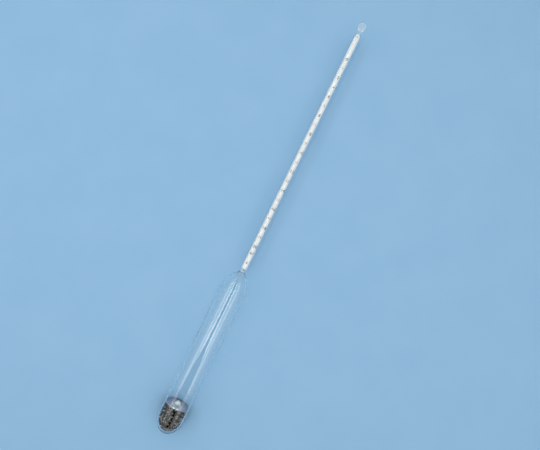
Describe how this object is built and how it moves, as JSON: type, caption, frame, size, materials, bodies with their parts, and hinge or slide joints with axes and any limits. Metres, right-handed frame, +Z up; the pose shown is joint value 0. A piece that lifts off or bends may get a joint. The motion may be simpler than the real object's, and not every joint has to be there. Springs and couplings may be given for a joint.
{
  "type": "hydrometer",
  "caption": "Glass hydrometer: a slim cylindrical float with shot sealed in its rounded end, and a narrow stem that holds a rolled paper scale and ends in a glass button.",
  "frame": {"origin": "middle of the instrument's length and width, on the surface that it lies on", "axes": "+X along the float's axis towards the tip of the stem, +Z up, away from the surface that it lies on"},
  "size_m": [0.33, 0.0196, 0.0196],
  "materials": {
    "bulb_glass": "clear flame-polished glass",
    "stem_glass": "clear drawn glass tube",
    "tip_glass": "clear flame-polished glass",
    "scale_paper": "smooth white paper, printed",
    "adhesive": "set drop of clear to milky adhesive",
    "steel_shot": "dark oiled steel shot",
    "seal_wax": "translucent cast wax"
  },
  "bodies": {
    "root": {"float_bulb": "bulb_glass", "stem_tube": "stem_glass", "tip_button": "tip_glass", "scale_sheet": "scale_paper", "scale_bond_upper": "adhesive", "scale_bond_lower": "adhesive", "ballast_shot": "steel_shot", "ballast_seal": "seal_wax"}
  },
  "joints": []
}
